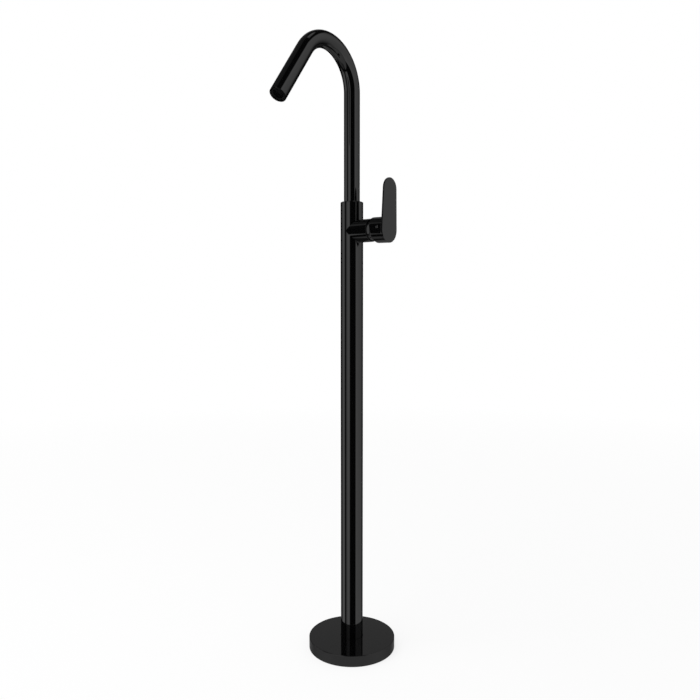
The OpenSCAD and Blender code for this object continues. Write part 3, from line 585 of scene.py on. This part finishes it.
def alongSpout(s, r, turn):
    # s runs along the centre line, r is the distance from it and turn goes round it. The centre line
    # rises, then leans by angle = length of arc so far / bend radius, which puts it at
    # y = bend radius (cos angle - 1), z = bend radius sin angle, and goes straight on at the end.
    angle = np.clip((s - riseLength) / spout["bendRadius"], 0, spout["bend"])
    beyond = np.maximum(s - tipStart, 0)
    y = spout["bendRadius"] * (np.cos(angle) - 1) - np.sin(angle) * beyond
    z = spout["start"] + np.minimum(s, riseLength) + spout["bendRadius"] * np.sin(angle)
    z = z + np.cos(angle) * beyond
    outwards = r * np.cos(turn)
    return np.stack([r * np.sin(turn), y + outwards * np.cos(angle), z + outwards * np.sin(angle)], -1) * mm


def spoutShell(profile, steps):
    # closed profile (length along the centre line, radius) carried round it
    turn = fullTurn(steps)
    points = alongSpout(profile[:, :1] + 0 * turn, profile[:, 1:] + 0 * turn, turn)
    return points, gridFaces(len(profile), steps, closeRows=True)


def spoutSkin(s):
    # the tube draws down by a hair through the bend, as 3t^2 - 2t^3
    t = np.clip((s - riseLength) / bendLength, 0, 1)
    return spout["radius"] + (spout["tipRadius"] - spout["radius"]) * t * t * (3 - 2 * t)


stations = np.concatenate([
    spout["lowRows"], [riseLength - spout["bendGuard"]], np.linspace(riseLength, tipStart, spout["bendRows"]),
    [tipStart + spout["bendGuard"], tipEnd - 2 * spout["lipZone"]]])
tipBore = spout["tipRadius"] - spout["wall"]
lipProfile = roundCorners([
    (tipEnd - spout["lipZone"], spout["tipRadius"], 0), (tipEnd, spout["tipRadius"], spout["lip"]),
    (tipEnd, tipBore, spout["lip"]), (tipEnd - spout["lipZone"], tipBore, 0)], closed=False, steps=6)
tubeProfile = np.concatenate([
    np.stack([stations, spoutSkin(stations)], -1), lipProfile,
    np.stack([stations, spoutSkin(stations) - spout["wall"]], -1)[::-1]])
makePiece("spoutTube", spoutShell(tubeProfile, spout["steps"]), glossBlack, "spout",
          ["spout_tube"], sharp=40)


# Outlet: lengths are counted along the straight tip
outlet = {"sleeveStart": 94.0, "sleeveEnd": 106.5, "sleeve": 12.7, "sleeveBore": 11.05, "sleeveEdge": 0.12,
          "lip": 1.5, "lipBore": 8.6, "ringStart": 96.5, "ringEnd": 106.0, "ring": 11.0, "ringBore": 9.2,
          "ringEdge": 0.15, "ringBoreEdge": 0.2, "backEdge": 0.2, "steps": 128}
sleeveProfile = roundCorners([
    (outlet["sleeveStart"], outlet["lipBore"], outlet["backEdge"]),
    (outlet["sleeveStart"], outlet["sleeve"], outlet["backEdge"]),
    (outlet["sleeveEnd"], outlet["sleeve"], outlet["sleeveEdge"]),
    (outlet["sleeveEnd"], outlet["sleeveBore"], outlet["sleeveEdge"]),
    (outlet["sleeveStart"] + outlet["lip"], outlet["sleeveBore"], 0),
    (outlet["sleeveStart"] + outlet["lip"], outlet["lipBore"], 0),
], steps=4) + [tipStart, 0]
makePiece("aeratorSleeve", spoutShell(sleeveProfile, outlet["steps"]), glossBlack, "spout",
          ["aerator_sleeve"])
ringProfile = roundCorners([
    (outlet["ringStart"], outlet["ringBore"], outlet["backEdge"]),
    (outlet["ringStart"], outlet["ring"], outlet["backEdge"]),
    (outlet["ringEnd"], outlet["ring"], outlet["ringEdge"]),
    (outlet["ringEnd"], outlet["ringBore"], outlet["ringBoreEdge"]),
], steps=4) + [tipStart, 0]
makePiece("aeratorRing", spoutShell(ringProfile, outlet["steps"]), slotMaterials["black_plastic"], "spout",
          ["aerator_ring"])
print("spout and outlet made")


# Lever: a round hub that opens towards the barrel and a flat paddle. In its own frame X runs
# from the pivot out of the barrel, Z up along the paddle.
lever = {"pivot": (31.0, 0.0, 754.5), "lean": math.radians(1.2), "lift": math.radians(5.0),
         "screwReach": 37.5}
hub = {"radius": 22.1, "bore": 20.3, "innerFace": 45.0, "rimTop": 17.5, "rimBottom": 26.0, "rimEdge": 0.35}
paddle = {"hubRadius": 22.2, "tipRadius": 19.0, "height": 87.2, "face": 49.3, "thickness": 3.3, "edge": 0.8,
          "backEdge": 0.6, "fillet": 0.9, "hold": 0.25, "guard": 0.2, "fade": 1.8}
tipCentre = paddle["height"] - paddle["tipRadius"]
taper = math.asin((paddle["hubRadius"] - paddle["tipRadius"]) / tipCentre)
slabBack = paddle["face"] - paddle["thickness"]


def inLever(points):
    # the lever leans about the pivot, so its own X tips down a little and its own Z tips outwards:
    # pivot + x (cos lean, -sin lean) + z (sin lean, cos lean)
    x, y, z = (points[..., i] for i in range(3))
    lean, pivot = lever["lean"], lever["pivot"]
    return np.stack([pivot[0] + x * math.cos(lean) + z * math.sin(lean), pivot[1] + y,
                     pivot[2] - x * math.sin(lean) + z * math.cos(lean)], -1)


def paddleOutline(hubSteps=110, tipSteps=72, sideSteps=24):
    # the band round two discs of different size: lower arc, straight side, upper arc, straight side.
    # Each arc is radius (cos, sin) about its disc's middle, and the sides touch both discs at the
    # taper, whose sine is the difference of the radii / the distance of the middles.
    low = np.linspace(-math.pi - taper, taper, hubSteps)       # hub's arc, through the bottom
    high = np.linspace(taper, math.pi - taper, tipSteps)       # tip's arc, through the top
    lowNormal = np.stack([np.cos(low), np.sin(low)], -1)
    highNormal = np.stack([np.cos(high), np.sin(high)], -1)
    lowArc = paddle["hubRadius"] * lowNormal
    highArc = paddle["tipRadius"] * highNormal + [0, tipCentre]
    t = np.linspace(0, 1, sideSteps + 2)[1:-1, None]
    right = lowArc[-1] * (1 - t) + highArc[0] * t
    left = highArc[-1] * (1 - t) + lowArc[0] * t
    normals = np.concatenate([lowNormal, np.tile([math.cos(taper), math.sin(taper)], (sideSteps, 1)),
                              highNormal, np.tile([-math.cos(taper), math.sin(taper)], (sideSteps, 1))])
    return np.concatenate([lowArc, right, highArc, left]), normals


outline, outward = paddleOutline()
polar = unit(outline)                                          # the same directions seen from the hub's axis
overhang = np.linalg.norm(outline, axis=1) - hub["radius"]     # how far the paddle stands out past the hub


def leverRow(x, flat):
    # one ring of the handle: a point (x, y, z) for each (y, z) of flat, with its own x or a shared one
    x = np.broadcast_to(np.asarray(x, float), (len(outline),))
    return np.stack([x, flat[:, 0], flat[:, 1]], -1)


rows = []
faceOutline = outline - outward * (paddle["edge"] + paddle["hold"])
for t in (0.0, 0.25, 0.5, 0.75, 0.9, 1.0):                     # the face, from the hub's axis outwards
    rows.append(leverRow(paddle["face"], faceOutline * t))
for turn in quarterTurn(7):                                    # rounded front edge
    rows.append(leverRow(paddle["face"] - paddle["edge"] * (1 - math.cos(turn)),
                         outline - outward * paddle["edge"] * (1 - math.sin(turn))))
rows.append(leverRow(paddle["face"] - paddle["edge"] - paddle["guard"], outline))

share = np.clip(overhang / paddle["fade"], 0, 1)[:, None]      # back edge and fillet fade out where the
backEdge = paddle["backEdge"] * share                          # paddle's outline meets the hub
fillet = paddle["fillet"] * share
backX, filletX = slabBack + backEdge[:, 0], slabBack - fillet[:, 0]
rows.append(leverRow(backX + paddle["guard"], outline))
for turn in quarterTurn(6):                                    # rounded back edge
    rows.append(leverRow(slabBack + backEdge[:, 0] * (1 - math.sin(turn)),
                         outline - outward * backEdge * (1 - math.cos(turn))))
backStart, hubFoot = outline - outward * backEdge, polar * (hub["radius"] + fillet)
for t in (0.02, 0.3, 0.6, 0.98):                               # back face, in towards the hub
    rows.append(leverRow(slabBack, backStart * (1 - t) + hubFoot * t))
for turn in quarterTurn(6):                                    # fillet onto the hub
    rows.append(leverRow(slabBack - fillet[:, 0] * (1 - math.cos(turn)),
                         polar * (hub["radius"] + fillet * (1 - math.sin(turn)))))

# the hub's rim slants evenly, from rimTop at its top to rimBottom at its bottom
slope = (hub["rimBottom"] - hub["rimTop"]) / (2 * paddle["hubRadius"])
rimAt = (hub["rimTop"] + hub["rimBottom"]) / 2 - slope * polar[:, 1] * hub["radius"]
rimStart = rimAt + hub["rimEdge"]
for t in np.linspace(0.05, 0.97, 30):                          # hub's skin down to its rim
    rows.append(leverRow(filletX * (1 - t) + rimStart * t, polar * hub["radius"]))
for turn in quarterTurn(5):                                    # rim's outer edge
    rows.append(leverRow(rimAt + hub["rimEdge"] * (1 - math.sin(turn)),
                         polar * (hub["radius"] - hub["rimEdge"] * (1 - math.cos(turn)))))
for turn in quarterTurn(5):                                    # rim's inner edge
    rows.append(leverRow(rimAt + hub["rimEdge"] * (1 - math.cos(turn)),
                         polar * (hub["bore"] + hub["rimEdge"] * (1 - math.sin(turn)))))
for t in np.linspace(0.03, 1, 12):                             # the bore
    rows.append(leverRow(rimStart * (1 - t) + hub["innerFace"] * t, polar * hub["bore"]))
for t in (0.9, 0.5, 0.0):                                      # the bore's flat end
    rows.append(leverRow(hub["innerFace"], polar * hub["bore"] * t))
handlePoints = inLever(np.stack(rows)) * mm
handle = makePiece("leverHandle", (handlePoints, gridFaces(len(rows), len(outline))), glossHandled, "lever",
                   ["lever_handle"])


# Boss round the stem, inside the hub: a plain cylinder along the stem, which is lifted a little,
# so along (cos lift, sin lift) + radius (-sin lift, cos lift) cos turn
boss = {"radius": 8.5, "start": 24.0, "end": 46.5, "steps": 64}
bossTurn = fullTurn(boss["steps"])
bossAlong = np.array([boss["start"], boss["start"], boss["end"], boss["end"]])[:, None]
bossR = np.array([0, boss["radius"], boss["radius"], 0])[:, None]
bossUp = bossR * np.cos(bossTurn)
liftCos, liftSin = math.cos(lever["lift"]), math.sin(lever["lift"])
bossPoints = np.stack([bossAlong * liftCos - bossUp * liftSin, bossR * np.sin(bossTurn),
                       bossAlong * liftSin + bossUp * liftCos], -1)
makePiece("leverBoss", (inLever(bossPoints) * mm, gridFaces(4, boss["steps"])), glossBlack, "lever")


# Plug over the lever's screw, in a hole in the hub's front side: a round button whose face is a
# slice of a ball, at the height middle + sqrt(ball^2 - distance^2)
plug = {"radius": 3.0, "edge": 0.12, "ball": 5.0, "top": 22.6, "foot": 19.3, "faceRows": 14,
        "play": 0.08, "holeStart": 12, "holeLength": 16, "steps": 64}
screwPlace = np.array([lever["screwReach"] * liftCos, 0, lever["screwReach"] * liftSin])
holeStart = inLever(screwPlace - [0, plug["holeStart"], 0])
carve(handle, [cylinderAlong(holeStart, (0, -1, 0), plug["holeLength"], plug["radius"] + plug["play"],
                             plug["steps"])])
plugTurn = fullTurn(plug["steps"])
plugFace = np.linspace(0, plug["radius"] - plug["edge"], plug["faceRows"])
plugHeight = plug["top"] - plug["ball"] + np.sqrt(plug["ball"] ** 2 - plugFace ** 2)
plugR = np.concatenate([plugFace, [plug["radius"], plug["radius"], 0]])[:, None]
plugY = np.concatenate([plugHeight, [plugHeight[-1] - plug["edge"], plug["foot"], plug["foot"]]])[:, None]
plugPoints = np.stack([screwPlace[0] + plugR * np.cos(plugTurn), 0 * plugTurn - plugY,
                       screwPlace[2] + plugR * np.sin(plugTurn)], -1)
makePiece("leverPlug", (inLever(plugPoints) * mm, gridFaces(len(plugR), plug["steps"])), glossBlack, "lever",
          ["lever_plug"])
print("lever made")


# Studio floor
def seenDirectly(tree):
    # 1 for what the camera sees itself, in a reflection or through glass
    path = addNode(tree, "LightPath").outputs
    return combine(tree, "MAXIMUM", path["Is Camera Ray"],
                   combine(tree, "MAXIMUM", path["Is Glossy Ray"], path["Is Transmission Ray"]))


def makeFloorMaterial():
    # pale floor: seen directly it is nearly white, fully so further out, and keeps the shadow
    look = {"pale": (0.86, 0.86, 0.86, 1), "whiteShare": 0.8, "whiteFrom": 0.4, "whiteTo": 3.0,
            "speckleSize": 60.0, "speckleRange": (0.3, 0.7), "roughness": (0.55, 0.7)}
    material, tree, shader = newMaterial("paleFloor")
    place = addNode(tree, "TexCoord").outputs["Object"]
    speckle = addNode(tree, "TexNoise", Scale=look["speckleSize"], Detail=3.0)
    tree.links.new(place, speckle.inputs["Vector"])
    roughness = remap(tree, speckle.outputs["Fac"], *look["speckleRange"], *look["roughness"])
    tree.links.new(roughness, shader.inputs["Roughness"])
    shader.inputs["Base Color"].default_value = look["pale"]
    shader.inputs["Specular IOR Level"].default_value = 0.0
    white = addNode(tree, "Emission", Strength=1.0)
    distance = addNode(tree, "VectorMath", operation="LENGTH")
    tree.links.new(place, distance.inputs[0])
    whiteness = remap(tree, distance.outputs["Value"], look["whiteFrom"], look["whiteTo"],
                      look["whiteShare"], 1.0)
    mix = addNode(tree, "MixShader")
    tree.links.new(combine(tree, "MULTIPLY", seenDirectly(tree), whiteness), mix.inputs[0])
    tree.links.new(shader.outputs["BSDF"], mix.inputs[1])
    tree.links.new(white.outputs["Emission"], mix.inputs[2])
    output = next(n for n in tree.nodes if n.type == "OUTPUT_MATERIAL")
    tree.links.new(mix.outputs[0], output.inputs["Surface"])
    return material


def stageMesh(name, points, faces, material):
    mesh = bpy.data.meshes.new(name)
    mesh.from_pydata(points.reshape(-1, 3).tolist(), [], faces.tolist())
    mesh.materials.append(material)
    mesh.shade_smooth()
    thing = bpy.data.objects.new(name, mesh)
    bpy.context.collection.objects.link(thing)
    return thing


floorDisc = {"rings": (0.001, 0.3, 1, 3, 9, 24.0), "steps": 96}  # metres: x = ring cos, y = ring sin
floorTurn = fullTurn(floorDisc["steps"])
floorR = np.array(floorDisc["rings"])[:, None]
floorPoints = np.stack([floorR * np.cos(floorTurn), floorR * np.sin(floorTurn), 0 * floorR * floorTurn], -1)
floorFaces = gridFaces(len(floorR), floorDisc["steps"])
studioFloor = stageMesh("studioFloor", floorPoints, floorFaces, makeFloorMaterial())
studioFloor.visible_glossy = False                             # the gloss sees the tent and the ring instead
print("floor made")


# What the gloss reflects: a dark tent far round the set with soft light panels let into it, and a
# low ring of light round the foot. Angles are in degrees: turn is counted from the camera's side,
# positive to the photo's right, and rise from level. soft is the width over which a panel's edge
# fades, and light goes evenly from the first turn's value to the second's.
tent = {"radius": 40.0, "height": 0.63, "front": 0.01, "back": 0.013, "backFrom": 122, "backSoft": 16,
        "seam": 185, "seamRoom": 60, "columns": 400, "rows": 240, "pole": 89.6}
panels = [
    # painted reflection of a pale floor and a low back
    {"turn": (-39, 140), "soft": (8, 10), "rise": (-95, -48), "softRise": (4, 4), "light": (0.72, 0.6)},
    {"turn": (-140, -32), "soft": (12, 8), "rise": (-95, -51), "softRise": (4, 3), "light": (0.36, 0.2)},
    {"turn": (-114, -60), "soft": (5, 8), "rise": (-62, -47), "softRise": (4, 3), "light": (0.42, 0.3)},
    {"turn": (121, 224), "soft": (15, 15), "rise": (-95, -30), "softRise": (4, 15), "light": (0.5, 0.44)},
    {"turn": (-185, 185), "soft": (2, 2), "rise": (-95, -68), "softRise": (2, 7), "light": (0.68, 0.68)},
    {"turn": (147, 215), "soft": (12, 12), "rise": (-47, -14), "softRise": (8, 9), "light": (0.27, 0.22)},
    # high up and behind
    {"turn": (160, 200), "soft": (10, 10), "rise": (20, 37), "softRise": (4, 8), "light": (0.24, 0.24)},
    {"turn": (167, 219), "soft": (10, 6), "rise": (40, 59), "softRise": (5, 5), "light": (0.16, 0.2)},
    {"turn": (-160, -45), "soft": (9, 9), "rise": (52, 95), "softRise": (10, 5), "light": (0.07, 0.09)},
    {"turn": (66, 150), "soft": (9, 11), "rise": (70, 95), "softRise": (8, 5), "light": (0.6, 0.6)},
    {"turn": (-104, -86), "soft": (8, 6), "rise": (37, 50), "softRise": (6, 6), "light": (0.25, 0.25)},
    # the tall lights at the right, at the left and further round to the left
    {"turn": (40.2, 120), "soft": (8, 36), "rise": (-46, 51), "softRise": (7, 8), "light": (1.26, 0.52)},
    {"turn": (-57, -22), "soft": (30, 9), "rise": (-41, 60), "softRise": (4, 20), "light": (1.1, 1.32)},
    {"turn": (-115, -80), "soft": (13, 6), "rise": (-32.5, 19), "softRise": (4, 24), "light": (0.7, 1.25)},
    {"turn": (-90, -78.5), "soft": (4, 4), "rise": (-30, -20), "softRise": (4, 5), "light": (1.1, 1.2)},
]
footRing = {"radius": 0.083, "bottom": -0.06, "top": 0.0175, "rows": 4, "front": 0.62, "side": 0.18,
            "fadeAt": 50, "fadeOver": 40}


def smoothEdge(x, middle, width):
    # rises from 0 to 1 across the width round the middle, as 3t^2 - 2t^3
    t = np.clip((x - middle) / width + 0.5, 0, 1)
    return t * t * (3 - 2 * t)


def softBand(x, ends, soft):
    # 1 between the ends and 0 outside them, and each end fades over its own width
    return smoothEdge(x, ends[0], soft[0]) * (1 - smoothEdge(x, ends[1], soft[1]))


def tentLight(turn, rise):
    # dark in front and dim behind. Each panel takes the place of what is there by a mask, the
    # product of its soft bands in turn and rise, and one that passes the seam at the back is
    # followed round.
    behind = smoothEdge(np.abs(turn), tent["backFrom"], tent["backSoft"])
    light = tent["front"] + (tent["back"] - tent["front"]) * behind
    for panel in panels:
        first, last = panel["turn"]
        around = (last > tent["seam"]) & (turn < first - tent["seamRoom"])
        where = np.where(around, turn + 360, turn)
        mask = softBand(where, panel["turn"], panel["soft"])
        mask = mask * softBand(rise, panel["rise"], panel["softRise"])
        along = np.clip((where - first) / (last - first), 0, 1)
        level = panel["light"][0] * (1 - along) + panel["light"][1] * along
        light = light * (1 - mask) + level * mask
    return light


def ringLight(turn):
    # bright on the camera's side of the foot and fading round it
    fade = smoothEdge(np.abs(turn), footRing["fadeAt"], footRing["fadeOver"])
    return footRing["front"] + (footRing["side"] - footRing["front"]) * fade


tentTurn = np.linspace(-180, 180, tent["columns"], endpoint=False)
tentRise = np.linspace(-tent["pole"], tent["pole"], tent["rows"])[:, None]
cameraSide = math.degrees(math.atan2(camera["place"][1], camera["place"][0]))
facing = np.radians(tentTurn + cameraSide)
ballR = tent["radius"] * np.cos(np.radians(tentRise))
ballZ = tent["height"] + tent["radius"] * np.sin(np.radians(tentRise)) + 0 * facing
ringR = footRing["radius"] + 0 * facing
ringZ = np.linspace(footRing["bottom"], footRing["top"], footRing["rows"])[:, None] + 0 * facing
shells = [np.stack([r * np.cos(facing) + 0 * z, r * np.sin(facing) + 0 * z, z], -1)
          for r, z in ((ballR, ballZ), (ringR, ringZ))]
tentFaces = gridFaces(tent["rows"], tent["columns"])
ringFaces = gridFaces(footRing["rows"], tent["columns"]) + tent["rows"] * tent["columns"]
lights = np.concatenate([tentLight(tentTurn + 0 * tentRise, tentRise + 0 * tentTurn).ravel(),
                         (ringLight(tentTurn) + 0 * ringZ).ravel()])

tentMaterial = bpy.data.materials.new("tentPanels")
tentMaterial.use_nodes = True
tentTree = tentMaterial.node_tree
tentTree.nodes.clear()
glow = addNode(tentTree, "Emission")
level = addNode(tentTree, "Attribute", attribute_name="panelLight")
tentTree.links.new(level.outputs["Fac"], glow.inputs["Strength"])
tentTree.links.new(glow.outputs[0], addNode(tentTree, "OutputMaterial").inputs["Surface"])
reflectionTent = stageMesh("reflectionTent", np.concatenate([p.reshape(-1, 3) for p in shells]),
                           np.concatenate([tentFaces, ringFaces]), tentMaterial)
panelLight = reflectionTent.data.attributes.new("panelLight", "FLOAT", "POINT")
panelLight.data.foreach_set("value", lights.astype(np.float32))
# the tent and the ring glow only in reflections and light nothing: painted reflections
for ray in ("camera", "diffuse", "shadow", "transmission", "volume_scatter"):
    setattr(reflectionTent, "visible_" + ray, False)


# White backdrop, which lights the set a little less than it shows
backdrop = {"light": 0.7, "shown": 1.0}
world = bpy.data.worlds.new("studioWorld")
bpy.context.scene.world = world
world.use_nodes = True
worldTree = world.node_tree
worldTree.nodes.clear()
background = addNode(worldTree, "Background", Color=(1, 1, 1, 1))
strength = remap(worldTree, seenDirectly(worldTree), 0, 1, backdrop["light"], backdrop["shown"])
worldTree.links.new(strength, background.inputs["Strength"])
worldTree.links.new(background.outputs[0], addNode(worldTree, "OutputWorld").inputs["Surface"])

# One soft lamp from above
lamp = {"size": 2.4, "power": 60, "place": (-0.6, -1.6, 3.0), "aim": (0, 0, 0.5)}
softLamp = bpy.data.lights.new("softLamp", "AREA")
softLamp.shape, softLamp.energy = "RECTANGLE", lamp["power"]
softLamp.size, softLamp.size_y = lamp["size"], lamp["size"]
lampObject = bpy.data.objects.new("softLamp", softLamp)
bpy.context.collection.objects.link(lampObject)
lampObject.location = lamp["place"]
lampAim = Vector(lamp["aim"]) - lampObject.location
lampObject.rotation_euler = lampAim.to_track_quat("-Z", "Y").to_euler()
lampObject.visible_glossy = False
print("stage made")
